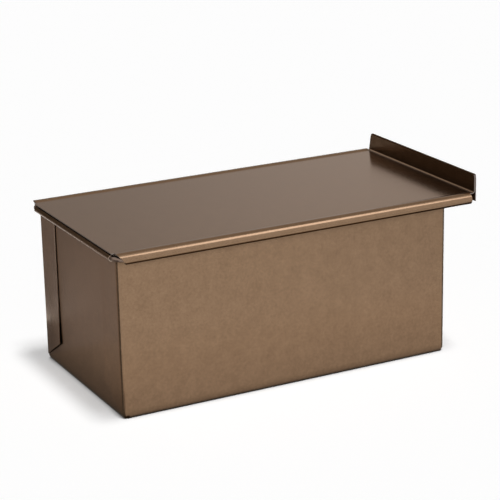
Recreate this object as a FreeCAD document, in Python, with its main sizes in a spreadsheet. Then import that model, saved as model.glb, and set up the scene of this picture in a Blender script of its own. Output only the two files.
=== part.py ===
import FreeCAD, Part
import Sketcher
import math
import os
import re

# Pullman loaf pan: a folded sheet pan with a wired rim, and a lid that slides along the rim.
# Millimetres. The origin is the middle of the resting face, +X runs towards the lid's pull end, +Z is up.

SIZES = {
    # Pan, outside
    "pan_length": 223.2,
    "pan_width": 119.2,
    "rim_height": 101.5,
    "corner_radius": 2.4,
    "base_radius": 1.3,
    # Sheet and its bends
    "gauge": 0.6,
    "bend_radius": 0.6,
    # Corner gussets, folded flat against the end walls
    "gusset_width": 24.0,
    "gusset_rise": 16.4,
    "gusset_inset": 0.15,
    "gusset_gap": 0.2,
    # Rim: the wire's middle line stands off the walls by these reaches
    "side_reach": 4.7,
    "end_reach": 1.75,
    "side_curl_trim": 4.2,
    "end_curl_trim": 2.05,
    "wire_diameter": 3.0,
    "wire_clearance": 0.1,
    "wire_corner": 5.5,
    "wire_butt_gap": 1.0,
    # Lid
    "slide_clearance": 0.3,
    "bead_rise": 0.4,
    "lip_length": 1.4,
    "lid_length": 245.0,
    "lid_tail": 114.5,
    "rail_setback": 4.3,
    "rail_cut_start": 1.3,
    "rail_cut_run": 5.2,
    # Handle flange: the sheet stands up, folds over at the top and hangs below the lid as a skirt
    "fold_radius": 1.2,
    "flange_height": 11.5,
    "flange_lean": 0.7,
    "flange_width": 126.6,
    "flange_taper": 1.2,
    "flange_corner": 1.8,
    "skirt_depth": 5.6,
    "hem_gap": 0.2,
    # Overrun of every cut past the metal
    "overrun": 5.0,
}

# Places and fits that follow from the sizes above.
FITS = {
    "half_length": "pan_length / 2",
    "half_width": "pan_width / 2",
    "end_wall": "half_length - gauge - gusset_gap",
    "core_corner": "corner_radius - gauge - gusset_gap",
    "base_bend": "min(base_radius; core_corner - gauge / 2)",
    "wall_top": "rim_height - gauge - bend_radius",
    "gusset_foot": "base_bend + bend_radius",
    "bend_outer": "bend_radius + gauge",
    "curl_bore": "wire_diameter / 2 + wire_clearance",
    "curl_radius": "curl_bore + gauge",
    "wire_level": "rim_height - curl_radius",
    "wire_side": "half_width + side_reach",
    "wire_end": "half_length + end_reach",
    "gusset_top": "wire_level - curl_radius",
    "wire_side_run": "wire_end - wire_corner",
    "wire_end_run": "wire_side - wire_corner",
    "side_curl_length": "pan_length - 2 * side_curl_trim",
    "end_curl_length": "pan_width - 2 * end_curl_trim",
    "lid_under": "rim_height + slide_clearance",
    "lid_top": "lid_under + gauge",
    "rail_level": "wire_level + bead_rise / 2",
    "rail_bore": "curl_radius + slide_clearance + bead_rise / 2",
    "rail_radius": "rail_bore + gauge",
    "rail_foot": "rail_level - rail_radius",
    "rail_top": "rail_level + rail_radius",
    "rail_side": "wire_side + rail_radius",
    "crease": "wire_side - sqrt(rail_radius ^ 2 - (lid_top - rail_level) ^ 2)",
    "crease_under": "wire_side - sqrt(rail_bore ^ 2 - (lid_under - rail_level) ^ 2)",
    "flange_face": "lid_length - lid_tail",
    "flange_side": "flange_width / 2",
    "flange_top": "lid_top + flange_height",
    "rail_end": "flange_face - rail_setback",
    "fold_start": "flange_face - fold_radius",
    "fold_level": "lid_top + fold_radius",
    "hem_bore": "hem_gap / 2",
    "hem_radius": "hem_bore + gauge",
    "hem_middle": "flange_face + flange_lean + hem_radius",
    "hem_level": "flange_top - hem_radius",
    "skirt_face": "flange_face + gauge + hem_gap",
    "skirt_foot": "lid_top - skirt_depth",
}

# Edges are found where they lie, to this share of the sheet's gauge.
TOUCH_SHARE = 0.01

doc = FreeCAD.newDocument("pullman_loaf_pan")
sheet = doc.addObject("Spreadsheet::Sheet", "Sizes")
for row, (alias, size) in enumerate(SIZES.items(), start=1):
    sheet.set("A%d" % row, str(size))
    sheet.setAlias("A%d" % row, alias)
doc.recompute()


def sized(text):
    """Point each size word of an expression at its cell, and spell out each fit."""
    def cell(match):
        word = match.group()
        if word in FITS:
            return "(" + sized(FITS[word]) + ")"
        return "Sizes." + word if word in SIZES else word
    return re.sub(r"[a-z_]+", cell, text)


def value(text):
    """The present value of an expression in sizes and fits."""
    return float(sheet.evalExpression(sized(text)))


def near(first, second):
    """Whether two places are the same to within the touch share of the gauge."""
    return abs(first - second) < value("gauge") * TOUCH_SHARE


def new_body(label):
    body = doc.addObject("PartDesign::Body", label)
    body.Label = label
    return body


def origin_plane(body, role):
    return next(item for item in body.Origin.OriginFeatures if item.Role == role)


def new_sketch(body, name, role, offset=None):
    """A sketch on one of the body's own planes, moved along the plane's normal."""
    sketch = body.newObject("Sketcher::SketchObject", name)
    sketch.AttachmentSupport = [(origin_plane(body, role), "")]
    sketch.MapMode = "FlatFace"
    if offset:
        sketch.setExpression(".AttachmentOffset.Base.z", sized(offset))
    return sketch


def hold(sketch, text, kind, *place):
    """Add one driving constraint and bind it to an expression."""
    index = sketch.addConstraint(Sketcher.Constraint(kind, *place, value(text)))
    sketch.setExpression("Constraints[%d]" % index, sized(text))


def arc_between(start, end, centre, clockwise):
    """The arc about a centre from one point to another, as sketches keep it."""
    first, last = (end, start) if clockwise else (start, end)
    circle = Part.Circle(centre, FreeCAD.Vector(0, 0, 1), first.distanceToPoint(centre))
    begin = math.atan2(first.y - centre.y, first.x - centre.x)
    finish = math.atan2(last.y - centre.y, last.x - centre.x)
    return Part.ArcOfCircle(circle, begin, finish if finish > begin else finish + 2 * math.pi)


def draw(sketch, corners, closed=True):
    """Draw an outline whose corners and radii stay bound to the sizes.

    A corner is (across, up), and the run to the next corner is straight. With four more items,
    (across, up, radius, centre across, centre up, clockwise), that run is an arc.
    """
    first = sketch.GeometryCount
    points = [FreeCAD.Vector(value(corner[0]), value(corner[1]), 0) for corner in corners]
    runs = len(corners) if closed else len(corners) - 1
    starts = []
    ends = []
    for place in range(runs):
        start = points[place]
        end = points[(place + 1) % len(points)]
        clockwise = False
        if len(corners[place]) == 2:
            run = Part.LineSegment(start, end)
        else:
            across, up, clockwise = corners[place][3:]
            run = arc_between(start, end, FreeCAD.Vector(value(across), value(up), 0), clockwise)
        sketch.addGeometry(run)
        starts.append(2 if clockwise else 1)
        ends.append(1 if clockwise else 2)
    for place in range(1 - int(closed), runs):
        sketch.addConstraint(Sketcher.Constraint(
            "Coincident", first + (place - 1) % runs, ends[place - 1], first + place, starts[place]))
    for place, corner in enumerate(corners):
        spot = (first + place, starts[place]) if place < runs else (first + runs - 1, ends[-1])
        hold(sketch, corner[0], "DistanceX", *spot)
        hold(sketch, corner[1], "DistanceY", *spot)
        if len(corner) > 2:
            hold(sketch, corner[2], "Radius", first + place)


def flipped(corners):
    """An outline mirrored across the sketch's upright axis and walked backwards."""
    back = []
    for place in range(len(corners) - 1, -1, -1):
        across, up = corners[place][:2]
        arc = corners[place - 1][2:]
        if arc:
            arc = (arc[0], "-(%s)" % arc[1], arc[2], arc[3])
        back.append(("-(%s)" % across, up) + arc)
    return back


def draw_pair(sketch, corners):
    """Draw an outline and its mirror image."""
    draw(sketch, corners)
    draw(sketch, flipped(corners))


def rounded_rectangle(across, up, radius):
    """Corners of a rectangle about the origin, given its half sizes and corner radius."""
    centre_across = "(%s - (%s))" % (across, radius)
    centre_up = "(%s - (%s))" % (up, radius)
    half = [
        (centre_across, "-(%s)" % up, radius, centre_across, "-" + centre_up, False),
        (across, "-" + centre_up),
        (across, centre_up, radius, centre_across, centre_up, False),
        (centre_across, up),
    ]
    return half + flipped(half)


def extrude(body, kind, name, sketch, length, symmetric=False, reverse=False):
    """Pad or pocket a sketch, and make sure that it changed the body."""
    before = body.Shape.Volume if body.Tip else 0
    feature = body.newObject("PartDesign::" + kind, name)
    feature.Profile = sketch
    feature.setExpression("Length", sized(length))
    feature.SideType = "Symmetric" if symmetric else "One side"
    feature.Reversed = reverse
    doc.recompute()
    change = body.Shape.Volume - before
    if change == 0 or (change > 0) != (kind == "Pad"):
        raise RuntimeError("%s does not change %s as it should" % (name, body.Label))
    return feature


def mirror(body, name, feature, role):
    """Repeat a feature across one of the body's planes."""
    copy = body.newObject("PartDesign::Mirrored", name)
    copy.Originals = [feature]
    copy.MirrorPlane = (origin_plane(body, role), [""])
    body.Tip = copy
    doc.recompute()


def round_edges(body, name, radius, chosen):
    """Round the edges of the body's present shape that a test of their box chooses."""
    base = body.Tip
    edges = ["Edge%d" % (n + 1) for n, edge in enumerate(base.Shape.Edges) if chosen(edge.BoundBox)]
    if not edges:
        raise RuntimeError("%s finds no edge on %s" % (name, body.Label))
    feature = body.newObject("PartDesign::Fillet", name)
    feature.Base = (base, edges)
    feature.setExpression("Radius", sized(radius))
    doc.recompute()


def rim_outline(wall, wire):
    """Section of the edge that is turned out above a wall's outer face and rolled round the wire."""
    bend = wall + " + bend_radius"
    return [
        (wall, "wall_top", "bend_radius", bend, "wall_top", True),
        (bend, "rim_height - gauge"),
        (wire, "rim_height - gauge", "curl_bore", wire, "wire_level", True),
        (wire + " - curl_bore", "wire_level"),
        (wire + " - curl_radius", "wire_level", "curl_radius", wire, "wire_level", False),
        (wire, "rim_height"),
        (bend, "rim_height", "bend_outer", bend, "wall_top", False),
        (wall + " - gauge", "wall_top"),
    ]


def make_pan_body():
    """The pan: one sheet, with gussets folded against its end walls and a rolled edge on four sides."""
    body = new_body("pan_body")

    folds = new_sketch(body, "corner_folds_plan", "XY_Plane", "gusset_foot")
    draw(folds, rounded_rectangle("half_length", "(half_width - gusset_inset)", "corner_radius"))
    extrude(body, "Pad", "corner_folds", folds, "gusset_top - gusset_foot")
    recess = new_sketch(body, "end_recess_elevation", "YZ_Plane", "half_length - corner_radius")
    half = [
        ("half_width", "gusset_foot - overrun"),
        ("half_width", "gusset_foot"),
        ("half_width - gusset_width", "gusset_rise"),
        ("half_width - gusset_width", "wall_top + overrun"),
    ]
    draw(recess, half + flipped(half))
    cut = extrude(body, "Pocket", "end_recess", recess, "corner_radius + overrun", reverse=True)
    mirror(body, "far_end_recess", cut, "YZ_Plane")
    walls = new_sketch(body, "walls_plan", "XY_Plane")
    draw(walls, rounded_rectangle("end_wall", "half_width", "core_corner"))
    extrude(body, "Pad", "walls", walls, "wall_top")

    inside = new_sketch(body, "inside_plan", "XY_Plane", "wall_top")
    draw(inside, rounded_rectangle("(end_wall - gauge)", "(half_width - gauge)", "core_corner - gauge"))
    extrude(body, "Pocket", "inside", inside, "wall_top - gauge")
    round_edges(body, "inside_folds", "base_bend - gauge", lambda box: (
        near(box.ZMin, value("gauge")) and near(box.ZMax, value("gauge"))))
    round_edges(body, "base_folds", "base_bend", lambda box: near(box.ZMax, 0))

    side_rims = new_sketch(body, "side_rims_section", "YZ_Plane")
    draw_pair(side_rims, rim_outline("half_width", "wire_side"))
    extrude(body, "Pad", "side_rims", side_rims, "side_curl_length", symmetric=True)
    end_rims = new_sketch(body, "end_rims_section", "XZ_Plane")
    draw_pair(end_rims, rim_outline("end_wall", "wire_end"))
    extrude(body, "Pad", "end_rims", end_rims, "end_curl_length", symmetric=True)
    return body


def make_rim_wire():
    """The wire in the rolled edge: a ring whose ends butt in the middle of one long side."""
    body = new_body("rim_wire")
    path = new_sketch(body, "wire_path", "XY_Plane", "wire_level")
    half = [
        ("wire_butt_gap / 2", "wire_side"),
        ("wire_side_run", "wire_side", "wire_corner", "wire_side_run", "wire_end_run", True),
        ("wire_end", "wire_end_run"),
        ("wire_end", "-wire_end_run", "wire_corner", "wire_side_run", "-wire_end_run", True),
        ("wire_side_run", "-wire_side"),
    ]
    draw(path, half + flipped(half), closed=False)
    section = new_sketch(body, "wire_section", "YZ_Plane", "wire_butt_gap / 2")
    centre = FreeCAD.Vector(value("wire_side"), value("wire_level"), 0)
    circle = Part.Circle(centre, FreeCAD.Vector(0, 0, 1), value("wire_diameter / 2"))
    ring = section.addGeometry(circle)
    hold(section, "wire_side", "DistanceX", ring, 3)
    hold(section, "wire_level", "DistanceY", ring, 3)
    hold(section, "wire_diameter", "Diameter", ring)
    doc.recompute()
    pipe = body.newObject("PartDesign::AdditivePipe", "wire")
    pipe.Profile = section
    pipe.Spine = (path, ["Edge%d" % (n + 1) for n in range(len(path.Shape.Edges))])
    doc.recompute()
    return body


def make_sliding_lid():
    """The lid: one sheet with a rail rolled along each long side and a doubled handle flange."""
    body = new_body("sliding_lid")

    section = new_sketch(body, "rails_section", "YZ_Plane", "-lid_tail")
    rail = [
        ("crease", "lid_top", "rail_radius", "wire_side", "rail_level", True),
        ("wire_side", "rail_foot"),
        ("wire_side - lip_length", "rail_foot"),
        ("wire_side - lip_length", "rail_foot + gauge"),
        ("wire_side", "rail_foot + gauge", "rail_bore", "wire_side", "rail_level", False),
        ("crease_under", "lid_under"),
    ]
    draw(section, rail + flipped(rail))
    extrude(body, "Pad", "rails", section, "lid_tail + rail_end")

    handle = new_sketch(body, "handle_section", "XZ_Plane")
    draw(handle, [
        ("rail_end", "lid_under"),
        ("fold_start", "lid_under", "fold_radius + gauge", "fold_start", "fold_level", False),
        ("flange_face + gauge", "fold_level"),
        ("hem_middle - hem_bore", "hem_level", "hem_bore", "hem_middle", "hem_level", True),
        ("hem_middle", "hem_level + hem_bore", "hem_bore", "hem_middle", "hem_level", True),
        ("hem_middle + hem_bore", "hem_level"),
        ("skirt_face", "lid_top"),
        ("skirt_face", "skirt_foot"),
        ("skirt_face + gauge", "skirt_foot"),
        ("skirt_face + gauge", "lid_top"),
        ("hem_middle + hem_radius", "hem_level", "hem_radius", "hem_middle", "hem_level", False),
        ("hem_middle", "flange_top", "hem_radius", "hem_middle", "hem_level", False),
        ("hem_middle - hem_radius", "hem_level"),
        ("flange_face", "fold_level", "fold_radius", "fold_start", "fold_level", True),
        ("fold_start", "lid_top"),
        ("rail_end", "lid_top"),
    ])
    extrude(body, "Pad", "handle", handle, "flange_width", symmetric=True)

    ends = new_sketch(body, "flange_ends_elevation", "YZ_Plane", "fold_start")
    corner_side = "flange_side - flange_taper - flange_corner"
    corner_level = "flange_top - flange_corner"
    draw_pair(ends, [
        ("flange_side", "lid_top"),
        ("flange_side + overrun", "lid_top"),
        ("flange_side + overrun", "flange_top + overrun"),
        (corner_side, "flange_top + overrun"),
        (corner_side, "flange_top", "flange_corner", corner_side, corner_level, True),
        ("flange_side - flange_taper", corner_level),
    ])
    extrude(body, "Pocket", "flange_ends", ends, "flange_lean + fold_radius + overrun", reverse=True)

    cut_top = "-lid_tail + rail_cut_start"
    cut_foot = "-lid_tail + rail_cut_start + rail_cut_run"
    slant = new_sketch(body, "rail_cut_elevation", "XZ_Plane", "crease")
    draw(slant, [
        (cut_top, "rail_top"),
        (cut_foot, "rail_foot"),
        (cut_foot, "rail_foot - overrun"),
        ("-lid_tail - overrun", "rail_foot - overrun"),
        ("-lid_tail - overrun", "rail_top + overrun"),
        (cut_top, "rail_top + overrun"),
    ])
    cut = extrude(body, "Pocket", "rail_cut", slant, "rail_side - crease + overrun", reverse=True)
    mirror(body, "far_rail_cut", cut, "XZ_Plane")
    return body


nodes = [make_pan_body(), make_rim_wire(), make_sliding_lid()]
doc.recompute()
for item in doc.Objects:
    if "Invalid" in item.State or "Error" in item.State:
        raise RuntimeError("%s failed" % item.Label)
for node in nodes:
    if node.Shape.isNull() or not node.Shape.isValid() or len(node.Shape.Solids) != 1:
        raise RuntimeError("%s is not one sound solid" % node.Label)
os.makedirs("parts", exist_ok=True)
for node in nodes:
    node.Shape.exportStep("parts/%s.step" % node.Label)
    print(node.Label, node.Shape.BoundBox, "volume", round(node.Shape.Volume))
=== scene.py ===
"""Looks of a pullman loaf pan: a folded pan with a wired rim, and a lid that slides along the rim."""

import logging
import math
from dataclasses import dataclass, field
from enum import Enum
from typing import Callable, Optional, Sequence, Union

import bmesh
import bpy
from bmesh.types import BMEdge, BMesh, BMFace, BMVert
from bpy.types import Material, Node, NodeSocket, Object, World
from mathutils import Matrix, Vector


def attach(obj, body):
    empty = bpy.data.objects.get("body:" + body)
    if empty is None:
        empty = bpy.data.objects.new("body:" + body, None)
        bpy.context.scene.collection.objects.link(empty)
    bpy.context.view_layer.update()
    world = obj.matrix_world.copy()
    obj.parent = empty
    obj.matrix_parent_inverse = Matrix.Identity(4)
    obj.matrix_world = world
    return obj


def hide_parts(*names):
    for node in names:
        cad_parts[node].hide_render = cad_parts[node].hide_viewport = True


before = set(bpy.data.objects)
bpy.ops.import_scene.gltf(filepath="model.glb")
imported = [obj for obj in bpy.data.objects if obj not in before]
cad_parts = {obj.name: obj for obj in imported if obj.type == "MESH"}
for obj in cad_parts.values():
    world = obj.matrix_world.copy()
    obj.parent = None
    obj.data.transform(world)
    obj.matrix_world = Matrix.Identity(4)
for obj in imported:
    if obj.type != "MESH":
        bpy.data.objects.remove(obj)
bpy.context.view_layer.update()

log = logging.getLogger("loaf_pan")

Colour = tuple[float, float, float]
Point = tuple[float, float, float]
Span = tuple[float, float]

MM = 0.001
# Places nearer to each other than this, in metres, are one place.
SAME_PLACE = 1e-6
# A point nearer to a cutting plane than this, in metres, lies on it.
ON_PLANE = 1e-7
# A square bend, in degrees.
SQUARE = 90.0
# The profile of a round bevel.
ROUND = 0.5
X_AXIS = Vector((1.0, 0.0, 0.0))
Y_AXIS = Vector((0.0, 1.0, 0.0))
Z_AXIS = Vector((0.0, 0.0, 1.0))
# A Mix node's sockets share their names, so they are found by their places.
MIX_VALUES = (2, 3)
MIX_VALUE_OUT = 0
MIX_COLOURS = (6, 7)
MIX_COLOUR_OUT = 2


class Side(Enum):
    """The two sides of a mirror plane."""

    LOW = -1
    HIGH = 1


class Slot(Enum):
    """The record's material slots."""

    PAN = "pan_coating"
    LID = "lid_coating"
    WIRE = "wire_steel"


class Skin(Enum):
    """The finishes of a coated sheet, by their place among the piece's materials."""

    COAT = 0
    SHEARED = 1
    # A dark coat that paints shade where a sheet folds tight or hangs over.
    PAINTED_SHADE = 2


def mm(*lengths: float) -> Vector:
    """A vector from lengths in millimetres."""
    return Vector(lengths) * MM


def same(first: float, second: float) -> bool:
    """Whether two places on an axis, in metres, are one place."""
    return abs(first - second) < SAME_PLACE


def verts_of(parts: Sequence[Union[BMEdge, BMFace]]) -> list[BMVert]:
    """The vertices of some edges or faces, each once, in a fixed order."""
    return list(dict.fromkeys(v for part in parts for v in part.verts))


@dataclass(frozen=True)
class NodeTree:
    """A thin wrapper that adds and links shader nodes.

    Args:
        owner: the material or world whose tree is filled.
    """

    owner: Union[Material, World]

    def add(self, kind: str, **values: object) -> Node:
        """Add a node and set its properties and input values.

        Args:
            kind: the node's type name without its ShaderNode prefix.
            values: properties of the node, or its inputs by name with _ for a space.

        Returns:
            The new node.
        """
        node = self.owner.node_tree.nodes.new("ShaderNode" + kind)
        for name, value in values.items():
            if hasattr(node, name):
                setattr(node, name, value)
            else:
                node.inputs[name.replace("_", " ")].default_value = value
        return node

    def link(self, source: NodeSocket, target: NodeSocket) -> None:
        """Join an output to an input."""
        self.owner.node_tree.links.new(source, target)

    def show(self, shader: NodeSocket, kind: str = "OutputMaterial") -> None:
        """Join a shader to a new output node."""
        self.link(shader, self.add(kind).inputs["Surface"])

    def noise(self, place: NodeSocket, scale: float, detail: float, roughness: float) -> NodeSocket:
        """Add a noise texture.

        Args:
            place: the coordinates that it reads.
            scale: its patches per metre.
            detail: how many finer layers it has.
            roughness: how strong the finer layers are.

        Returns:
            Its value.
        """
        node = self.add("TexNoise", Scale=scale, Detail=detail, Roughness=roughness)
        self.link(place, node.inputs["Vector"])
        return node.outputs["Fac"]

    def ramp(self, value: NodeSocket, given: Span = (0.0, 1.0), wanted: Span = (0.0, 1.0),
             smooth: bool = False) -> NodeSocket:
        """Carry a value from one span to another, and hold it at the ends.

        Args:
            value: the value.
            given: the span that it comes from.
            wanted: the span that it goes to.
            smooth: whether it eases in and out.

        Returns:
            The new value.
        """
        node = self.add("MapRange", interpolation_type="SMOOTHSTEP" if smooth else "LINEAR")
        for name, number in zip(("From Min", "From Max", "To Min", "To Max"), (*given, *wanted)):
            node.inputs[name].default_value = number
        self.link(value, node.inputs["Value"])
        return node.outputs["Result"]

    def times(self, value: NodeSocket, factor: Union[float, NodeSocket]) -> NodeSocket:
        """Multiply a value.

        Args:
            value: the value.
            factor: a number or another value.

        Returns:
            The product.
        """
        node = self.add("Math", operation="MULTIPLY")
        self.link(value, node.inputs[0])
        if isinstance(factor, NodeSocket):
            self.link(factor, node.inputs[1])
        else:
            node.inputs[1].default_value = factor
        return node.outputs[0]

    def mix_values(self, first: NodeSocket, second: NodeSocket, share: float) -> NodeSocket:
        """Blend two values.

        Args:
            first: the first value.
            second: the second value.
            share: share of the second in the blend.

        Returns:
            The blend.
        """
        node = self.add("Mix", data_type="FLOAT", Factor=share)
        for place, value in zip(MIX_VALUES, (first, second)):
            self.link(value, node.inputs[place])
        return node.outputs[MIX_VALUE_OUT]

    def mix_colours(self, deep: Colour, light: Colour, share: NodeSocket) -> NodeSocket:
        """Blend two colours.

        Args:
            deep: the first colour.
            light: the second colour.
            share: share of the second in the blend.

        Returns:
            The blend.
        """
        node = self.add("Mix", data_type="RGBA")
        for place, colour in zip(MIX_COLOURS, (deep, light)):
            node.inputs[place].default_value = (*colour, 1.0)
        self.link(share, node.inputs["Factor"])
        return node.outputs[MIX_COLOUR_OUT]

    def bump(self, height: NodeSocket, strength: float, relief: float) -> NodeSocket:
        """Make a surface look uneven.

        Args:
            height: the height of each place, from 0 to 1.
            strength: how much of it shows.
            relief: the full height in metres.

        Returns:
            The surface's normal.
        """
        node = self.add("Bump", Strength=strength, Distance=relief)
        self.link(height, node.inputs["Height"])
        return node.outputs["Normal"]

    def metal(self, colour: NodeSocket, roughness: NodeSocket, normal: NodeSocket,
              glance: Colour = (1.0, 1.0, 1.0)) -> None:
        """Finish a material as metal.

        Args:
            colour: its colour.
            roughness: its roughness.
            normal: its surface's normal.
            glance: colour that tints it where it is seen at a glancing angle.
        """
        shader = self.add("BsdfPrincipled", Metallic=1.0, Specular_Tint=(*glance, 1.0))
        self.link(colour, shader.inputs["Base Color"])
        self.link(roughness, shader.inputs["Roughness"])
        self.link(normal, shader.inputs["Normal"])
        self.show(shader.outputs["BSDF"])


def new_material(name: str) -> NodeTree:
    """Make an empty node material.

    Args:
        name: the material's name.

    Returns:
        A wrapper of its tree.
    """
    material = bpy.data.materials.new(name)
    material.use_nodes = True
    material.node_tree.nodes.clear()
    return NodeTree(material)


@dataclass(frozen=True)
class BronzeCoating:
    """Satin bronze non-stick coat on sheet steel: a metallic paint with a fine grain and soft streaks, and
    painted shade in tight corners.

    Args:
        name: the material's name.
        deep: colour of the coat where the flakes lie thin.
        light: colour of the coat where the flakes lie dense.
        roughness: mean roughness of the coat.
        swing: how far the roughness goes to either side of the mean.
        grain: size of the grain in metres.
        grain_share: share of the grain in the coat's unevenness, the rest being clouds and streaks.
        relief: height of the grain in metres.
        relief_shown: share of that height that shows.
        mottle: clouds of uneven coat per metre.
        streaks: soft upright streaks per metre.
        streak_squeeze: their width as a share of their length.
        streak: share of the streaks among clouds and streaks.
        contrast: the unevenness at which the coat is deep and at which it is light.
        crevice_shade: share of its colour that the coat keeps in tight corners, where shade is painted in.
        crevice_shade_reach: how far out of a corner the painted shade reaches, in metres.
        crevice_shade_span: how open a place is where the painted shade is full and where it ends, 1 being
            quite open.
        crevice_shade_samples: how many rays find out how open a place is.
        glance: colour that tints the coat where it is seen at a glancing angle.
    """

    name: str
    deep: Colour
    light: Colour
    roughness: float
    swing: float = 0.05
    grain: float = 0.0016
    grain_share: float = 0.5
    relief: float = 0.000012
    relief_shown: float = 0.35
    mottle: float = 120.0
    streaks: float = 160.0
    streak_squeeze: float = 0.08
    streak: float = 0.25
    contrast: Span = (0.35, 0.65)
    crevice_shade: float = 0.25
    crevice_shade_reach: float = 0.008
    crevice_shade_span: Span = (0.35, 0.9)
    crevice_shade_samples: int = 8
    glance: Colour = (1.0, 1.0, 1.0)

    def build(self) -> Material:
        """Build the coat's node material.

        Returns:
            The finished material.
        """
        tree = new_material(self.name)
        place = tree.add("TexCoord").outputs["Object"]
        fine = tree.noise(place, scale=1 / self.grain, detail=3.0, roughness=0.6)
        cloud = tree.noise(place, scale=self.mottle, detail=5.0, roughness=0.6)
        squeeze = tree.add("Mapping")
        squeeze.inputs["Scale"].default_value = (1.0, 1.0, self.streak_squeeze)
        tree.link(place, squeeze.inputs["Vector"])
        upright = tree.noise(squeeze.outputs["Vector"], scale=self.streaks, detail=2.0, roughness=0.5)
        clouded = tree.mix_values(cloud, upright, self.streak)
        grained = tree.mix_values(clouded, fine, self.grain_share)
        colour = tree.mix_colours(self.deep, self.light, tree.ramp(grained, self.contrast))

        # Painted shade: the colour darkens where the surface is closed in, in corners, in creases, under
        # the rails and at the foot.
        corner = tree.add("AmbientOcclusion", samples=self.crevice_shade_samples, Distance=self.crevice_shade_reach)
        unshaded_share = tree.ramp(corner.outputs["AO"], self.crevice_shade_span, (self.crevice_shade, 1.0))
        painted_shade = tree.add("VectorMath", operation="SCALE")
        tree.link(colour, painted_shade.inputs[0])
        tree.link(unshaded_share, painted_shade.inputs["Scale"])

        rough = tree.ramp(cloud, wanted=(self.roughness - self.swing, self.roughness + self.swing))
        normal = tree.bump(fine, self.relief_shown, self.relief)
        tree.metal(painted_shade.outputs[0], rough, normal, self.glance)
        return tree.owner


@dataclass(frozen=True)
class DrawnSteel:
    """Drawn or sheared steel: metal with a very fine grain.

    Args:
        name: the material's name.
        deep: colour in the hollows of the grain.
        light: colour on its ridges.
        roughness: mean roughness.
        swing: how far the roughness goes to either side of the mean.
        fineness: grains per metre.
        relief: height of the grain in metres.
        relief_shown: share of that height that shows.
    """

    name: str
    deep: Colour
    light: Colour
    roughness: float = 0.32
    swing: float = 0.08
    fineness: float = 1800.0
    relief: float = 0.00001
    relief_shown: float = 0.3

    def build(self) -> Material:
        """Build the steel's node material.

        Returns:
            The finished material.
        """
        tree = new_material(self.name)
        place = tree.add("TexCoord").outputs["Object"]
        fine = tree.noise(place, scale=self.fineness, detail=3.0, roughness=0.6)
        colour = tree.mix_colours(self.deep, self.light, fine)
        rough = tree.ramp(fine, wanted=(self.roughness - self.swing, self.roughness + self.swing))
        tree.metal(colour, rough, tree.bump(fine, self.relief_shown, self.relief))
        return tree.owner


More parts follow.
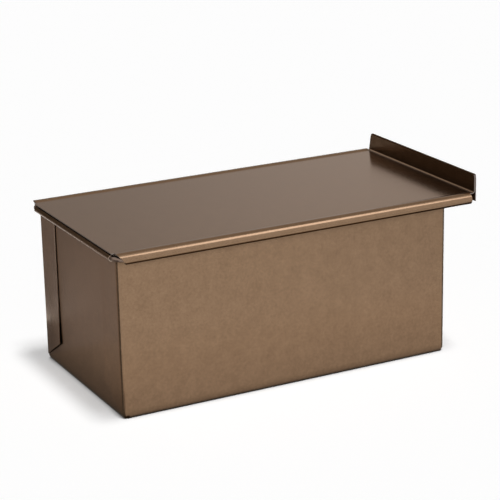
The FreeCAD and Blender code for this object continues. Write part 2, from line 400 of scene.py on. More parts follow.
@dataclass
class SheetStock:
    """Metal that is bent up edge by edge.

    Args:
        gauge: thickness of the sheet in metres.
        ease: width of the rounding of its cut edges in metres.
        ease_steps: how many strips make that rounding.
        sharp: the least angle between two faces, in degrees, at which their edge is rounded.
        bm: the mesh, as far as it has been made.
    """

    gauge: float = 0.6 * MM
    ease: float = 0.12 * MM
    ease_steps: int = 2
    sharp: float = 50.0
    bm: BMesh = field(default_factory=bmesh.new)

    def edge(self, start: Vector, end: Vector) -> list[BMEdge]:
        """Start a sheet as one straight edge, which is returned."""
        return [self.bm.edges.new((self.bm.verts.new(start), self.bm.verts.new(end)))]

    def push(self, edges: Sequence[BMEdge], by: Vector) -> list[BMEdge]:
        """Lengthen the sheet from some of its edges.

        Args:
            edges: the edges that move on.
            by: how far they go.

        Returns:
            The sheet's new edges.
        """
        made = bmesh.ops.extrude_edge_only(self.bm, edges=list(edges))["geom"]
        bmesh.ops.translate(self.bm, verts=[g for g in made if isinstance(g, BMVert)], vec=by)
        past = set(verts_of(edges))
        rims = [g for g in made if isinstance(g, BMEdge) and g.is_boundary]
        return [e for e in rims if past.isdisjoint(e.verts)]

    def roll(self, edges: Sequence[BMEdge], centre: Vector, axis: Vector, turn: float,
             steps: int) -> list[BMEdge]:
        """Bend the sheet on from some of its edges, round an axis.

        Args:
            edges: the edges that move on.
            centre: a point on the axis.
            axis: the axis' direction.
            turn: the bend's angle in degrees.
            steps: how many strips make the bend.

        Returns:
            The sheet's new edges.
        """
        made = bmesh.ops.spin(self.bm, geom=[*verts_of(edges), *edges], cent=centre, axis=axis,
                              angle=math.radians(turn), steps=steps, use_merge=False)
        return [g for g in made["geom_last"] if isinstance(g, BMEdge)]

    def score(self, point: Vector, normal: Vector, faces: Optional[Sequence[BMFace]] = None,
              cut: bool = False) -> None:
        """Mark a line where a plane meets the sheet, so that it can bend or end there.

        Args:
            point: a point on the plane.
            normal: the plane's normal.
            faces: where given, only these faces are marked.
            cut: whether what lies on the normal's side is cut away.
        """
        marked = self.bm.faces[:] if faces is None else faces
        edges = dict.fromkeys(e for f in marked for e in f.edges)
        bmesh.ops.bisect_plane(self.bm, geom=[*verts_of(marked), *edges, *marked], dist=ON_PLANE,
                               plane_co=point, plane_no=normal, clear_outer=cut)

    def widen(self, edges: Sequence[BMEdge], side: Side, reach: float) -> list[BMEdge]:
        """Carry a row of edges across the sheet on to one side.

        Args:
            edges: the row, which runs along Y.
            side: the side that it grows towards.
            reach: how far from the middle it reaches there, in metres.

        Returns:
            The longer row.
        """
        end = max(verts_of(edges), key=lambda v: v.co.y * side.value)
        made = bmesh.ops.extrude_vert_indiv(self.bm, verts=[end])
        step = Y_AXIS * (side.value * reach - end.co.y)
        bmesh.ops.translate(self.bm, verts=made["verts"], vec=step)
        return [*edges, *made["edges"]]

    def orient(self, face_test: Callable[[BMFace], bool], normal: Vector) -> None:
        """Turn all faces the same way, with one face as the guide.

        Args:
            face_test: picks faces, of which the largest is the guide.
            normal: direction that the guide has to look in.
        """
        bmesh.ops.remove_doubles(self.bm, verts=self.bm.verts[:], dist=SAME_PLACE)
        bmesh.ops.recalc_face_normals(self.bm, faces=self.bm.faces[:])
        guide = max((f for f in self.bm.faces if face_test(f)), key=lambda f: f.calc_area())
        if guide.normal.dot(normal) < 0:
            bmesh.ops.reverse_faces(self.bm, faces=self.bm.faces[:])

    def thicken(self) -> None:
        """Give the sheet its gauge, behind the faces drawn so far, and mark its sheared edges."""
        cut = [e for e in self.bm.edges if e.is_boundary]
        drawn = set(self.bm.faces)
        bmesh.ops.solidify(self.bm, geom=self.bm.faces[:], thickness=self.gauge)
        for edge in cut:
            for face in edge.link_faces:
                if face not in drawn:
                    face.material_index = Skin.SHEARED.value
        bmesh.ops.recalc_face_normals(self.bm, faces=self.bm.faces[:])

    def ease_edges(self) -> None:
        """Round the sheet's sharp convex edges."""
        limit = math.radians(self.sharp)
        picked = [e for e in self.bm.edges
                  if len(e.link_faces) == 2 and e.is_convex and e.calc_face_angle() > limit]
        if picked:
            bmesh.ops.bevel(self.bm, geom=picked, offset=self.ease, offset_type="OFFSET",
                            segments=self.ease_steps, profile=ROUND, affect="EDGES", material=-1,
                            clamp_overlap=True)

    def mirror(self, axis: str) -> None:
        """Add the mirror image of the sheet.

        Args:
            axis: letter of the axis that is square to the mirror, which goes through the origin.
        """
        bmesh.ops.mirror(self.bm, geom=[*self.bm.verts, *self.bm.edges, *self.bm.faces],
                         matrix=Matrix.Identity(4), merge_dist=SAME_PLACE, axis=axis)
        bmesh.ops.recalc_face_normals(self.bm, faces=self.bm.faces[:])

    def to_object(self, name: str, *finishes: Material) -> Object:
        """Turn the sheet into a smooth-shaded object at the origin.

        Args:
            name: the piece's name.
            finishes: its finishes, in the order of Skin.

        Returns:
            The new object.
        """
        mesh = bpy.data.meshes.new(name)
        self.bm.normal_update()
        self.bm.to_mesh(mesh)
        self.bm.free()
        for finish in finishes:
            mesh.materials.append(finish)
        mesh.shade_smooth()
        piece = bpy.data.objects.new(name, mesh)
        bpy.context.scene.collection.objects.link(piece)
        weigh = piece.modifiers.new("even_normals", "WEIGHTED_NORMAL")
        weigh.keep_sharp = True
        return piece


@dataclass
class PanBody:
    """The pan: walls, base and rolled rim of one sheet, with corner folds against the end walls.

    All lengths are in millimetres.

    Args:
        coating: finish of the sheet's faces.
        sheared: finish of its cut edges.
        end_wall: outside of the end walls, from the middle.
        side_wall: outside of the long walls, from the middle.
        core_corner: radius of the upright corners.
        corner_steps: strips in such a corner.
        base_bend: radius of the bend between base and walls.
        base_stretch: how much taller than round that bend is.
        base_steps: strips in that bend.
        wall_top: where the walls start to turn out.
        bend: radius of that turn.
        bend_steps: strips in that turn.
        wire_side: middle of the long rolls, from the pan's middle.
        wire_level: height of their middle.
        roll_turn: how far a roll goes round, in degrees.
        roll_steps: strips in a roll.
        end_drop: how much lower the end walls turn out.
        end_roll: inner radius of the end rolls.
        end_roll_side: middle of the end rolls, from the pan's middle.
        side_curl: half the length of the long rolls.
        end_curl: half the length of the end rolls.
        fold_face: outside of the flaps, from the middle.
        fold_corner: radius of the flaps' bend round the corner.
        fold_steps: strips in that bend.
        fold_edge: where the flaps end, from the middle.
        fold_rise: height of their lower edge there.
        fold_foot: height of their lower edge at the corner.
        fold_top: height of their upper edge.
        fold_lift: how far their free edge stands off.
        lift_start: share of the flap that lies flat before that.
        foot_lift: how far their foot stands off.
        foot_lift_height: height at which the foot lies flat again.
        foot_lift_steps: strips in that height.
        foot_lift_run: length in which the foot comes away from the corner.
        fold_start: how far along the long wall the flaps start.
        fold_skim: how deep they start in the long wall, and how far they then stand out of it.
    """

    coating: Material
    sheared: Material
    end_wall: float = 110.8
    side_wall: float = 59.6
    core_corner: float = 1.6
    corner_steps: int = 8
    base_bend: float = 1.3
    base_stretch: float = 1.8
    base_steps: int = 6
    wall_top: float = 100.3
    bend: float = 0.6
    bend_steps: int = 4
    wire_side: float = 64.3
    wire_level: float = 99.3
    roll_turn: float = 270.0
    roll_steps: int = 24
    end_drop: float = 0.4
    end_roll: float = 1.4
    end_roll_side: float = 113.55
    side_curl: float = 107.4
    end_curl: float = 57.55
    fold_face: float = 111.6
    fold_corner: float = 2.4
    fold_steps: int = 10
    fold_edge: float = 35.6
    fold_rise: float = 16.4
    fold_foot: float = 1.9
    fold_top: float = 97.0
    fold_lift: float = 0.15
    lift_start: float = 0.75
    foot_lift: float = 0.9
    foot_lift_height: float = 40.0
    foot_lift_steps: int = 4
    foot_lift_run: float = 10.0
    fold_start: float = 4.5
    fold_skim: float = 0.03

    def build(self) -> list[Object]:
        """Make the pan's pieces and hang them on the pan.

        Returns:
            The shell and the corner folds.
        """
        shell = self._shell()
        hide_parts("pan_body")
        pieces = [shell, self._corner_folds()]
        for piece in pieces:
            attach(piece, "pan")
        return pieces

    def _shell(self) -> Object:
        """Make the walls, the base and the rolled rim, as one sheet.

        Returns:
            The piece.
        """
        sheet = SheetStock()
        bm = sheet.bm
        size = mm(2 * self.end_wall, 2 * self.side_wall, self.wall_top)
        bmesh.ops.create_cube(bm, size=1.0)
        bmesh.ops.scale(bm, verts=bm.verts[:], vec=size)
        bmesh.ops.translate(bm, verts=bm.verts[:], vec=Z_AXIS * size.z / 2)
        top = max(bm.faces, key=lambda f: f.calc_center_median().z)
        bmesh.ops.delete(bm, geom=[top], context="FACES_ONLY")
        upright = [e for e in bm.edges if not same(e.verts[0].co.z, e.verts[1].co.z)]
        bmesh.ops.bevel(bm, geom=upright, offset=self.core_corner * MM, offset_type="OFFSET",
                        segments=self.corner_steps, profile=ROUND, affect="EDGES", material=-1)
        low = [e for e in bm.edges if all(same(v.co.z, 0) for v in e.verts)]
        foot = [e for e in low if len(e.link_faces) == 2]
        bmesh.ops.bevel(bm, geom=foot, offset=self.base_bend * MM, offset_type="OFFSET",
                        segments=self.base_steps, profile=ROUND, affect="EDGES", material=-1)
        bend = [v for v in bm.verts if v.co.z < self.base_bend * MM + SAME_PLACE]
        bmesh.ops.scale(bm, verts=bend, vec=Vector((1, 1, self.base_stretch)))
        for side in Side:
            self._side_rim(sheet, side)
            self._end_rim(sheet, side)
        sheet.orient(lambda f: same(f.calc_center_median().z, 0), -Z_AXIS)
        sheet.thicken()
        sheet.ease_edges()
        return sheet.to_object("pan_shell", self.coating, self.sheared)

    def _rim_edges(self, sheet: SheetStock, axis: int, place: float, reach: float) -> list[BMEdge]:
        """Split a wall's top edge where its rolled part ends.

        Args:
            sheet: the pan's sheet.
            axis: the axis that the wall is square to, 0 or 1.
            place: where the wall stands on that axis.
            reach: half the length of the rolled part.

        Returns:
            The edges that get rolled.
        """
        along = X_AXIS if axis else Y_AXIS
        for side in Side:
            wall = [f for f in sheet.bm.faces if all(same(v.co[axis], place * MM) for v in f.verts)]
            sheet.score(along * side.value * reach * MM, along, wall)
        rims = [e for e in sheet.bm.edges if e.is_boundary
                and all(same(v.co[axis], place * MM) and same(v.co.z, self.wall_top * MM) for v in e.verts)]
        return [e for e in rims if all(abs(v.co[1 - axis]) < reach * MM + SAME_PLACE for v in e.verts)]

    def _side_rim(self, sheet: SheetStock, side: Side) -> None:
        """Turn out and roll the top edge of one long wall.

        Args:
            sheet: the pan's sheet.
            side: which long wall.
        """
        sign = side.value
        edges = self._rim_edges(sheet, 1, sign * self.side_wall, self.side_curl)
        bend = mm(0, sign * (self.side_wall + self.bend), self.wall_top)
        edges = sheet.roll(edges, bend, X_AXIS, -SQUARE * sign, self.bend_steps)
        edges = sheet.push(edges, mm(0, sign * (self.wire_side - self.side_wall - self.bend), 0))
        wire = mm(0, sign * self.wire_side, self.wire_level)
        sheet.roll(edges, wire, X_AXIS, -self.roll_turn * sign, self.roll_steps)

    def _end_rim(self, sheet: SheetStock, side: Side) -> None:
        """Turn out and roll the top edge of one end wall.

        Args:
            sheet: the pan's sheet.
            side: which end wall.
        """
        sign = side.value
        edges = self._rim_edges(sheet, 0, sign * self.end_wall, self.end_curl)
        top = self.wall_top - self.end_drop
        bmesh.ops.translate(sheet.bm, verts=verts_of(edges), vec=mm(0, 0, -self.end_drop))
        bend = mm(sign * (self.end_wall + self.bend), 0, top)
        edges = sheet.roll(edges, bend, Y_AXIS, SQUARE * sign, self.bend_steps)
        edges = sheet.push(edges, mm(sign * (self.end_roll_side - self.end_wall - self.bend), 0, 0))
        middle = mm(sign * self.end_roll_side, 0, top + self.bend - self.end_roll)
        sheet.roll(edges, middle, Y_AXIS, self.roll_turn * sign, self.roll_steps)

    def _corner_folds(self) -> Object:
        """Make the four flaps, which come round from the long walls and lie along the end walls.

        Returns:
            The piece.
        """
        sheet = SheetStock()
        turn_x = self.fold_face - self.fold_corner
        start = mm(-turn_x + self.fold_start, -self.side_wall + self.fold_skim, 0)
        edges = sheet.edge(start, start + mm(0, 0, self.fold_top))
        edges = sheet.push(edges, mm(-self.fold_start, -2 * self.fold_skim, 0))
        turn_y = self.side_wall + self.fold_skim - self.fold_corner
        edges = sheet.roll(edges, mm(-turn_x, -turn_y, 0), Z_AXIS, -SQUARE, self.fold_steps)
        reach = turn_y - self.fold_edge
        edges = sheet.push(edges, mm(0, self.lift_start * reach, 0))
        sheet.push(edges, mm(-self.fold_lift, (1 - self.lift_start) * reach, 0))
        lower_edge = mm(0, self.side_wall - self.fold_edge, self.fold_rise - self.fold_foot)
        below = Vector((0, lower_edge.z, -lower_edge.y)).normalized()
        sheet.score(mm(-self.fold_face, -self.side_wall, self.fold_foot), below, cut=True)
        self._lift_foot(sheet, turn_y)
        sheet.orient(lambda f: f.calc_center_median().y > -turn_y * MM, -X_AXIS)
        sheet.thicken()
        sheet.ease_edges()
        sheet.mirror("X")
        sheet.mirror("Y")
        return sheet.to_object("pan_corner_folds", self.coating, self.sheared)

    def _lift_foot(self, sheet: SheetStock, turn_y: float) -> None:
        """Let a flap stand off the end wall a little towards its foot.

        Args:
            sheet: the flap's sheet.
            turn_y: where the flap's flat starts, from the middle.
        """
        for step in range(1, self.foot_lift_steps + 1):
            sheet.score(mm(0, 0, step / self.foot_lift_steps * self.foot_lift_height), Z_AXIS)
        sheet.score(mm(0, self.foot_lift_run - turn_y, 0), Y_AXIS)
        for vert in sheet.bm.verts:
            low = max(0.0, 1 - vert.co.z / (self.foot_lift_height * MM))
            free = min(1.0, max(0.0, (vert.co.y / MM + turn_y) / self.foot_lift_run))
            vert.co.x -= self.foot_lift * low * free * MM


@dataclass
class RimWire:
    """The wire in the rolled rim: a ring whose ends butt in the middle of the far long side.

    All lengths are in millimetres.

    Args:
        steel: finish of the wire.
        diameter: its diameter.
        sides: how many sides its section has.
        side: its middle along the long walls, from the pan's middle.
        end: its middle along the end walls, from the pan's middle.
        level: height of its middle.
        corner: radius of its corners.
        corner_steps: strips in a corner.
        butt_gap: gap between its ends.
    """

    steel: Material
    diameter: float = 3.0
    sides: int = 20
    side: float = 64.3
    end: float = 113.35
    level: float = 99.3
    corner: float = 5.5
    corner_steps: int = 8
    butt_gap: float = 1.0

    def build(self) -> Object:
        """Make the wire and hang it on the pan.

        Returns:
            The wire.
        """
        stock = SheetStock()
        bm = stock.bm
        spot = Matrix.Translation(mm(self.butt_gap / 2, self.side, self.level))
        turn = Matrix.Rotation(math.radians(SQUARE), 4, "Y")
        ring = bmesh.ops.create_circle(bm, cap_ends=True, radius=self.diameter / 2 * MM,
                                       segments=self.sides, matrix=spot @ turn)["verts"]
        edges = [e for e in bm.edges if all(v in ring for v in e.verts)]
        along = self.end - self.corner
        across = self.side - self.corner
        half_leg = along - self.butt_gap / 2
        legs = [
            (mm(half_leg, 0, 0), (along, across)),
            (mm(0, -2 * across, 0), (along, -across)),
            (mm(-2 * along, 0, 0), (-along, -across)),
            (mm(0, 2 * across, 0), (-along, across)),
        ]
        for leg, bend in legs:
            edges = stock.push(edges, leg)
            edges = stock.roll(edges, mm(*bend, self.level), Z_AXIS, -SQUARE, self.corner_steps)
        edges = stock.push(edges, mm(half_leg, 0, 0))
        bmesh.ops.edgeloop_fill(bm, edges=edges)
        bmesh.ops.recalc_face_normals(bm, faces=bm.faces[:])
        stock.ease_edges()
        wire = stock.to_object("rim_wire_ring", self.steel)
        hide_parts("rim_wire")
        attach(wire, "pan")
        return wire


@dataclass
class SlidingLid:
    """The lid: a flat sheet with a rail rolled along each long side and a folded handle flange.

    All lengths are in millimetres. Radii are those of the sheet's upper or outer face.

    Args:
        coating: finish of the sheet's faces.
        sheared: finish of its cut edges.
        painted_shade: dark finish that paints shade on the fold along the flange's top and on the rails'
            undersides.
        ease: width of the rounding of its cut edges.
        tail: where the flat starts, from the middle.
        top: height of the flat.
        rail_start: where the slanted cut at the rails' start begins, from the middle.
        rail_cut_run: length of that cut.
        rail_end: where the front rail ends.
        back_rail_end: where the back rail ends.
        crease_radius: radius of the hollow between the flat and a rail.
        crease_steps: strips in that hollow.
        crown_side: middle of a rail's crown, from the lid's middle.
        crown_level: height of that middle.
        crown_radius: radius of the crown.
        crown_turn: how far over its top the crown goes, in degrees.
        crown_steps: strips in the crown.
        rail_top: height at which the slanted cut begins.
        rail_foot: height of the rails' underside.
        rail_height: height that the slanted cut takes up.
        under_steps: strips in the turn under a rail.
        lip_end: where the lip under a rail ends, from the middle.
        fold_line: where the pull end turns up.
        fold_radius: radius of that turn.
        fold_steps: strips in that turn and in the fold at the flange's top.
        hem_middle: middle of the fold at the flange's top.
        hem_level: height of that middle.
        hem_radius: radius of that fold.
        painted_shade_below: height below which the rails get the dark finish that paints shade.
        skirt_depth: how far the skirt hangs below the flat.
        flange_half: half the flange's width at its foot.
        flange_lean: how far the flange leans out at its top.
        flange_taper: how much narrower it is at each end of its top.
        flange_corner: radius of its upper corners.
        corner_step: degrees between the cuts that round such a corner.
        trim_margin: how far before the fold line those cuts reach.
    """

    coating: Material
    sheared: Material
    painted_shade: Material
    ease: float = 0.2
    tail: float = 114.5
    top: float = 102.4
    rail_start: float = 113.2
    rail_cut_run: float = 5.2
    rail_end: float = 126.2
    back_rail_end: float = 129.0
    crease_radius: float = 4.0
    crease_steps: int = 5
    crown_side: float = 63.1
    crown_level: float = 98.85
    crown_radius: float = 4.4
    crown_turn: float = 75.0
    crown_steps: int = 20
    rail_top: float = 102.8
    rail_foot: float = 96.3
    rail_height: float = 6.6
    under_steps: int = 14
    lip_end: float = 62.9
    fold_line: float = 129.3
    fold_radius: float = 1.2
    fold_steps: int = 8
    hem_middle: float = 131.9
    hem_level: float = 113.2
    hem_radius: float = 0.7
    painted_shade_below: float = 98.2
    skirt_depth: float = 5.6
    flange_half: float = 62.9
    flange_lean: float = 0.7
    flange_taper: float = 1.2
    flange_corner: float = 1.8
    corner_step: int = 15
    trim_margin: float = 0.05

    def build(self) -> Object:
        """Make the lid and hang it on the lid's body.

        Returns:
            The lid.
        """
        sheet = SheetStock(ease=self.ease * MM)
        start = self._rail_cut(self.top)
        flat = self._flat_half()
        edges = sheet.edge(mm(-self.tail, -flat, self.top), mm(-self.tail, flat, self.top))
        edges = sheet.push(edges, mm(start + self.tail, 0, 0))
        edges = sheet.push(edges, mm(self.rail_end - start, 0, 0))
        edges = sheet.widen(edges, Side.LOW, self.flange_half * MM)
        edges = sheet.push(edges, mm(self.back_rail_end - self.rail_end, 0, 0))
        edges = sheet.push(edges, mm(self.fold_line - self.back_rail_end, 0, 0))
        edges = sheet.widen(edges, Side.HIGH, self.flange_half * MM)
        self._rail(sheet, Side.LOW, start, self.rail_end)
        self._rail(sheet, Side.HIGH, start, self.back_rail_end)
        self._handle(sheet, edges)
        sheet.orient(lambda f: same(f.calc_center_median().z, self.top * MM), Z_AXIS)
        sheet.thicken()
        self._paint_shade(sheet)
        sheet.ease_edges()
        lid = sheet.to_object("lid_sheet", self.coating, self.sheared, self.painted_shade)
        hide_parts("sliding_lid")
        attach(lid, "lid")
        return lid

    def _rail_cut(self, level: float) -> float:
        """Where the slanted cut at a rail's start lies, at a level."""
        return self.rail_cut_run * (self.rail_top - level) / self.rail_height - self.rail_start

    def _crease_angle(self) -> float:
        """How steeply the sheet rises out of the flat into a rail, in radians."""
        rise = self.top + self.crease_radius - self.crown_level
        return math.acos(rise / (self.crease_radius + self.crown_radius))

    def _flat_half(self) -> float:
        """Half the width of the flat between the creases."""
        return self.crown_side - (self.crease_radius + self.crown_radius) * math.sin(self._crease_angle())

    def _rail(self, sheet: SheetStock, side: Side, start: float, end: float) -> None:
        """Crease one long edge of the lid, roll it into its rail and turn the lip in.

        Args:
            sheet: the lid's sheet.
            side: which long edge.
            start: where the rail starts, at the level of the flat.
            end: where it ends.
        """
        sign = side.value
        flat = self._flat_half()
        first = start * MM - SAME_PLACE
        last = end * MM + SAME_PLACE
        edges = [e for e in sheet.bm.edges if e.is_boundary
                 and all(same(v.co.y, sign * flat * MM) and first < v.co.x < last for v in e.verts)]
        rise = math.degrees(self._crease_angle())
        hollow = mm(0, sign * flat, self.top + self.crease_radius)
        edges = sheet.roll(edges, hollow, X_AXIS, sign * rise, self.crease_steps)
        crown = mm(0, sign * self.crown_side, self.crown_level)
        edges = sheet.roll(edges, crown, X_AXIS, -sign * (self.crown_turn + rise), self.crown_steps)
        out = math.sin(math.radians(self.crown_turn))
        down = math.cos(math.radians(self.crown_turn))
        side_y = self.crown_side + self.crown_radius * out
        side_z = self.crown_level + self.crown_radius * down
        under = (side_z - self.rail_foot) / (1 + down)
        under_y = side_y - under * out
        turn = mm(0, sign * under_y, self.rail_foot + under)
        edges = sheet.roll(edges, turn, X_AXIS, -sign * (2 * SQUARE - self.crown_turn), self.under_steps)
        sheet.push(edges, mm(0, sign * (self.lip_end - under_y), 0))
        for vert in sheet.bm.verts:
            if same(vert.co.x, start * MM) and vert.co.y * sign > 0:
                vert.co.x = self._rail_cut(vert.co.z / MM) * MM

    def _handle(self, sheet: SheetStock, edges: Sequence[BMEdge]) -> None:
        """Turn the pull end up as the handle flange, fold it over and hang it down outside as a skirt.

        Args:
            sheet: the lid's sheet.
            edges: its edge along the fold line.
        """
        fold = mm(self.fold_line, 0, self.top + self.fold_radius)
        edges = sheet.roll(edges, fold, Y_AXIS, -SQUARE, self.fold_steps)
        edges = sheet.push(edges, mm(self.flange_lean, 0, self.hem_level - self.top - self.fold_radius))
        hem = mm(self.hem_middle, 0, self.hem_level)
        edges = sheet.roll(edges, hem, Y_AXIS, 2 * SQUARE, self.fold_steps)
        edges = sheet.push(edges, mm(-self.flange_lean, 0, self.top - self.hem_level))
        sheet.push(edges, mm(0, 0, -self.skirt_depth))
        for side in Side:
            self._flange_end(sheet, side)

    def _flange_end(self, sheet: SheetStock, side: Side) -> None:
        """Taper one end of the flange and round its upper corner.

        Args:
            sheet: the lid's sheet.
            side: which end.
        """
        sign = side.value
        flange_top = self.hem_level + self.hem_radius
        slope = Vector((0, sign * (flange_top - self.top), self.flange_taper)).normalized()
        self._trim_flange(sheet, mm(0, sign * self.flange_half, self.top), slope)
        round_y = self.flange_half - self.flange_taper - self.flange_corner
        middle = mm(0, sign * round_y, flange_top - self.flange_corner)
        for degrees in range(self.corner_step, int(SQUARE), self.corner_step):
            angle = math.radians(degrees)
            outward = Vector((0, sign * math.cos(angle), math.sin(angle)))
            self._trim_flange(sheet, middle + outward * self.flange_corner * MM, outward)

    def _trim_flange(self, sheet: SheetStock, point: Vector, outward: Vector) -> None:
        """Cut away what part of the flange lies outward of a plane.

        Args:
            sheet: the lid's sheet.
            point: a point on the plane.
            outward: the plane's normal, towards the part that goes.
        """
        past = (self.fold_line - self.trim_margin) * MM
        flange = [f for f in sheet.bm.faces if f.calc_center_median().x > past]
        sheet.score(point, outward, flange, cut=True)

    def _paint_shade(self, sheet: SheetStock) -> None:
        """Give the faces of the flange's top fold and under the rails the dark finish that paints shade
        there.

        Args:
            sheet: the lid's sheet.
        """
        for face in sheet.bm.faces:
            middle = face.calc_center_median() / MM
            under_rail = middle.z < self.painted_shade_below and abs(middle.y) > self.lip_end
            if middle.z > self.hem_level or (under_rail and middle.x < self.fold_line):
                face.material_index = Skin.PAINTED_SHADE.value


@dataclass(frozen=True)
class SoftLight:
    """A lamp that is far off and soft, and shows in no reflection.

    Args:
        name: the lamp's name.
        towards: direction from the pan to the lamp.
        spread: how wide it looks from the pan, in degrees.
        strength: its light on a surface that faces it.
        distance: where its object stands, in metres, which doesn't change its light.
    """

    name: str
    towards: Point
    spread: float
    strength: float
    distance: float = 2.0

    def build(self) -> Object:
        """Make the lamp.

        Returns:
            The lamp's object.
        """
        data = bpy.data.lights.new(self.name, "SUN")
        data.angle = math.radians(self.spread)
        data.energy = self.strength
        lamp = bpy.data.objects.new(self.name, data)
        way = Vector(self.towards).normalized()
        lamp.location = way * self.distance
        lamp.rotation_euler = (-way).to_track_quat("-Z", "Y").to_euler()
        lamp.visible_glossy = False
        bpy.context.scene.collection.objects.link(lamp)
        return lamp


@dataclass(frozen=True)
class Fade:
    """A change of a card's brightness along one axis of the frame.

    Args:
        axis: the axis' letter.
        span: where the change starts and ends, in metres.
        shares: the shares of the brightness there.
    """

    axis: str
    span: Span
    shares: Span


@dataclass(frozen=True)
class Card:
    """A board that shows only in reflections, as is set round bright metal for a photograph.

    Args:
        name: the card's name.
        centre: its middle, in metres.
        faces: direction that it looks in.
        size: its width and height in metres.
        level: its brightness, where 1 is white.
        fades: how the brightness changes over it.
        tint: its colour.
        spin: how far it is turned in its own plane, in degrees.
        point: share of its height that it keeps at one end of its width.
    """

    name: str
    centre: Point
    faces: Point
    size: Span
    level: float
    fades: tuple[Fade, ...] = ()
    tint: Colour = (1.0, 1.0, 1.0)
    spin: float = 0.0
    point: float = 1.0

    def build(self) -> Object:
        """Make the card.

        Returns:
            The card's object.
        """
        turn = Vector(self.faces).to_track_quat("Z", "Y").to_matrix().to_4x4()
        turn = turn @ Matrix.Rotation(math.radians(self.spin), 4, "Z")
        place = Matrix.Translation(self.centre) @ turn @ Matrix.Diagonal((*self.size, 1.0, 1.0))
        bm = bmesh.new()
        # A grid's size is half its side, so this is a square with sides of 1.
        grid = bmesh.ops.create_grid(bm, x_segments=1, y_segments=1, size=0.5)["verts"]
        bmesh.ops.scale(bm, verts=[v for v in grid if v.co.x > 0], vec=Vector((1, self.point, 1)))
        bmesh.ops.transform(bm, matrix=place, verts=grid)
        mesh = bpy.data.meshes.new(self.name)
        bm.to_mesh(mesh)
        bm.free()
        mesh.materials.append(self._paint())
        card = bpy.data.objects.new(self.name, mesh)
        bpy.context.scene.collection.objects.link(card)
        card.visible_camera = False
        card.visible_diffuse = False
        card.visible_transmission = False
        card.visible_shadow = False
        return card

    def _paint(self) -> Material:
        """Build the card's material, brighter or darker along its fades.

        Returns:
            The finished material.
        """
        tree = new_material(self.name)
        glow = tree.add("Emission", Color=(*self.tint, 1.0), Strength=self.level)
        place = tree.add("SeparateXYZ")
        tree.link(tree.add("TexCoord").outputs["Object"], place.inputs[0])
        level: Union[float, NodeSocket] = self.level
        for fade in self.fades:
            share = tree.ramp(place.outputs[fade.axis], fade.span, fade.shares, smooth=True)
            level = tree.times(share, level)
        if self.fades:
            tree.link(level, glow.inputs["Strength"])
        tree.show(glow.outputs[0])
        return tree.owner


def floor_card(name: str, centre: Point, size: Span, level: float, **more: object) -> Card:
    """A card that lies on the floor and looks up."""
    return Card(name, centre, (0.0, 0.0, 1.0), size, level, **more)


LEFT_FADE = (Fade("X", (-0.16, -0.07), (0.2, 1.0)),)
LEFT_TINT = (1.0, 0.8, 0.6)


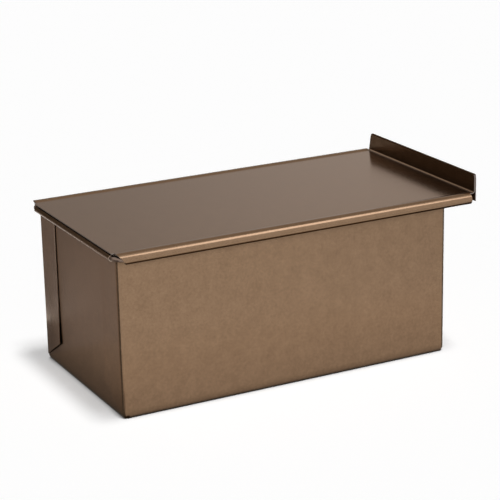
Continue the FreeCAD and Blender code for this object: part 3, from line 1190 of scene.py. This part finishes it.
@dataclass
class Studio:
    """Floor, light and camera of the photograph.

    Args:
        floor_half: half the floor's width in metres.
        floor_albedo: share of the lamps' light that the floor sends back.
        floor_glow: brightness that the floor adds where it is seen.
        gap_reach: how near to the pan that brightness falls off, as a painted contact shadow, in metres.
        gap_span: how open the floor is where the brightness is gone and where it is full.
        ambient: strength of the light from all sides.
        eye: the camera's place in metres.
        right: direction to the right of the picture.
        up: direction to the top of the picture.
        back: direction from the pan to the camera.
        focal_pixels: the lens' focal length in pixels of the photograph.
        image_pixels: width of the photograph in pixels.
        sensor: width of the camera's sensor in millimetres.
        sight: nearest and furthest distance that the camera sees, in metres.
        lamps: the lamps, which light the floor.
        cards: the cards, which the metal mirrors.
    """

    floor_half: float = 6.0
    floor_albedo: float = 0.6
    floor_glow: float = 0.493
    gap_reach: float = 0.012
    gap_span: Span = (0.3, 0.62)
    ambient: float = 0.03
    eye: Point = (-0.49955, -0.97246, 0.41906)
    right: Point = (0.88461, -0.46592, -0.01962)
    up: Point = (0.15860, 0.26100, 0.95222)
    back: Point = (-0.43854, -0.84545, 0.30478)
    focal_pixels: float = 1831.4231
    image_pixels: float = 500.0
    sensor: float = 36.0
    sight: Span = (0.01, 100.0)
    lamps: tuple[SoftLight, ...] = (
        SoftLight("front_light", (0.055, -0.25, 1.0), spread=9.0, strength=0.9),
        SoftLight("right_light", (0.105, -0.1, 1.0), spread=9.0, strength=1.6),
    )
    cards: tuple[Card, ...] = (
        Card("top_box", (0.86, -0.92, 1.56), (-0.43, 0.46, -0.78), (0.75, 0.75), level=3.3,
             tint=(0.96, 1.0, 1.08)),
        Card("ceiling_flag", (0.54, 0.54, 1.02), (-0.45, -0.45, -0.77), (1.3, 1.2), level=0.56,
             tint=(1.0, 0.92, 0.84)),
        Card("back_card", (0.47, 0.883, 0.25), (-0.47, -0.883, 0.0), (1.1, 0.6), level=0.63,
             fades=(Fade("X", (0.12, 0.62), (0.6, 1.0)), Fade("Z", (0.06, 0.24), (0.2, 1.0))),
             tint=(1.0, 0.92, 0.86)),
        Card("left_flag", (-0.43, 0.5, 0.2), (0.0, -1.0, 0.0), (0.74, 0.4), level=0.5,
             fades=LEFT_FADE, tint=LEFT_TINT),
        Card("left_flag_top", (-0.22, 0.5, 0.55), (0.0, -1.0, 0.0), (0.32, 0.3), level=0.5,
             fades=LEFT_FADE, tint=LEFT_TINT),
        floor_card("end_floor_card", (-0.713, 0.75, 0.0003), (1.2, 1.7), level=0.42,
                   fades=(Fade("X", (-0.113, -0.16), (0.6, 1.0)), Fade("Y", (0.22, 0.38), (1.0, 0.75))),
                   tint=(1.0, 0.88, 0.81)),
        floor_card("flap_card", (-0.156, 0.186, 0.0005), (0.3, 0.024), level=0.15,
                   tint=(1.0, 0.86, 0.78), spin=111.0),
        floor_card("foot_card", (-0.138, 0.0, 0.0006), (0.062, 0.125), level=0.46,
                   fades=(Fade("X", (-0.102, -0.167), (0.3, 1.0)),), tint=(1.0, 0.84, 0.7)),
        floor_card("corner_card", (-0.36, -0.085, 0.0009), (0.5, 0.45), level=0.15, spin=186.0, point=0.02),
        floor_card("rim_kicker", (-0.127, 0.1925, 0.0007), (0.017, 0.135), level=1.7),
        floor_card("right_floor_card", (0.66, 0.47, 0.0003), (1.09, 1.05), level=0.12),
        floor_card("front_floor_card", (0.05, -0.11, 0.0003), (0.5, 0.1), level=0.96,
                   fades=(Fade("Y", (-0.06, -0.15), (0.82, 1.0)),), tint=(1.0, 0.97, 0.94)),
        floor_card("front_right_card", (0.452, -0.131, 0.0006), (0.6, 0.35), level=0.25, spin=-42.0),
        floor_card("right_fall_card", (0.5, -0.46, 0.0002), (0.8, 0.8), level=0.98,
                   fades=(Fade("X", (0.1, 0.26), (1.0, 0.88)),)),
    )

    def build(self) -> None:
        """Set up the floor, the world, the lamps, the cards and the camera."""
        self._floor()
        self._world()
        for item in (*self.lamps, *self.cards):
            item.build()
        self._camera()
        bpy.context.scene.view_settings.view_transform = "Standard"

    def _seen_directly(self, tree: NodeTree) -> NodeSocket:
        """Add a factor that is one for camera, glossy and transmission rays.

        Args:
            tree: the tree that gets it.

        Returns:
            The factor.
        """
        rays = tree.add("LightPath")
        seen = rays.outputs["Is Camera Ray"]
        for kind in ("Is Glossy Ray", "Is Transmission Ray"):
            either = tree.add("Math", operation="MAXIMUM")
            tree.link(seen, either.inputs[0])
            tree.link(rays.outputs[kind], either.inputs[1])
            seen = either.outputs[0]
        return seen

    def _floor(self) -> None:
        """Lay a pale floor that keeps the pan's shadow."""
        bm = bmesh.new()
        bmesh.ops.create_grid(bm, x_segments=1, y_segments=1, size=self.floor_half)
        mesh = bpy.data.meshes.new("floor")
        bm.to_mesh(mesh)
        bm.free()
        floor = bpy.data.objects.new("floor", mesh)
        bpy.context.scene.collection.objects.link(floor)
        tree = new_material("pale_floor")
        matt = tree.add("BsdfDiffuse", Color=(self.floor_albedo,) * 3 + (1.0,))
        glow = tree.add("Emission")
        # Painted contact shadow: the glow dims where the pan closes the floor in, on top of the lamps' real
        # shadow.
        gap = tree.add("AmbientOcclusion", Distance=self.gap_reach)
        level = tree.ramp(gap.outputs["AO"], self.gap_span, (0.0, self.floor_glow))
        tree.link(tree.times(self._seen_directly(tree), level), glow.inputs["Strength"])
        both = tree.add("AddShader")
        tree.link(matt.outputs[0], both.inputs[0])
        tree.link(glow.outputs[0], both.inputs[1])
        tree.show(both.outputs[0])
        mesh.materials.append(tree.owner)

    def _world(self) -> None:
        """Set a white surround for camera and reflections, and soft ambient light."""
        world = bpy.data.worlds.new("surround")
        bpy.context.scene.world = world
        world.use_nodes = True
        world.node_tree.nodes.clear()
        tree = NodeTree(world)
        sky = tree.add("Background", Color=(1.0, 1.0, 1.0, 1.0))
        level = tree.ramp(self._seen_directly(tree), wanted=(self.ambient, 1.0))
        tree.link(level, sky.inputs["Strength"])
        tree.show(sky.outputs[0], "OutputWorld")

    def _camera(self) -> None:
        """Put the camera where the photograph was taken from."""
        data = bpy.data.cameras.new("camera")
        data.sensor_width = self.sensor
        data.lens = self.sensor * self.focal_pixels / self.image_pixels
        data.clip_start, data.clip_end = self.sight
        camera = bpy.data.objects.new("camera", data)
        bpy.context.scene.collection.objects.link(camera)
        columns = (self.right, self.up, self.back, self.eye)
        camera.matrix_world = Matrix([[c[row] for c in columns] for row in range(3)] + [[0, 0, 0, 1]])
        bpy.context.scene.camera = camera


def main() -> None:
    """Build the pan, the wire, the lid and the studio in order."""
    logging.basicConfig(level=logging.INFO, format="%(name)s: %(message)s")
    coat = BronzeCoating("bronze_coat", (0.228, 0.143, 0.086), (0.298, 0.191, 0.117), roughness=0.24)
    lid_coat = BronzeCoating("bronze_coat_lid", (0.235, 0.147, 0.088), (0.275, 0.176, 0.108),
                             roughness=0.18, crevice_shade=0.12, crevice_shade_reach=0.01, crevice_shade_span=(0.35, 0.88))
    # A dark coat that paints shade on the lid's top fold and under its rails.
    painted_shade = BronzeCoating("bronze_coat_painted_shade", (0.06, 0.036, 0.021), (0.085, 0.052, 0.03),
                            roughness=0.3, glance=(0.3, 0.2, 0.15))
    steel = DrawnSteel("drawn_wire", (0.18, 0.128, 0.1), (0.26, 0.19, 0.152))
    sheared = DrawnSteel("sheared_edge", (0.36, 0.28, 0.22), (0.46, 0.37, 0.30))
    lid_sheared = DrawnSteel("sheared_edge_lid", (0.2, 0.165, 0.145), (0.27, 0.225, 0.2))
    pan = PanBody(coat.build(), sheared.build())
    wire = RimWire(steel.build())
    lid = SlidingLid(lid_coat.build(), lid_sheared.build(), painted_shade.build())
    for piece in (*pan.build(), wire.build(), lid.build()):
        log.info("%s: %d faces", piece.name, len(piece.data.polygons))
    Studio().build()


if __name__ == "__main__":
    main()
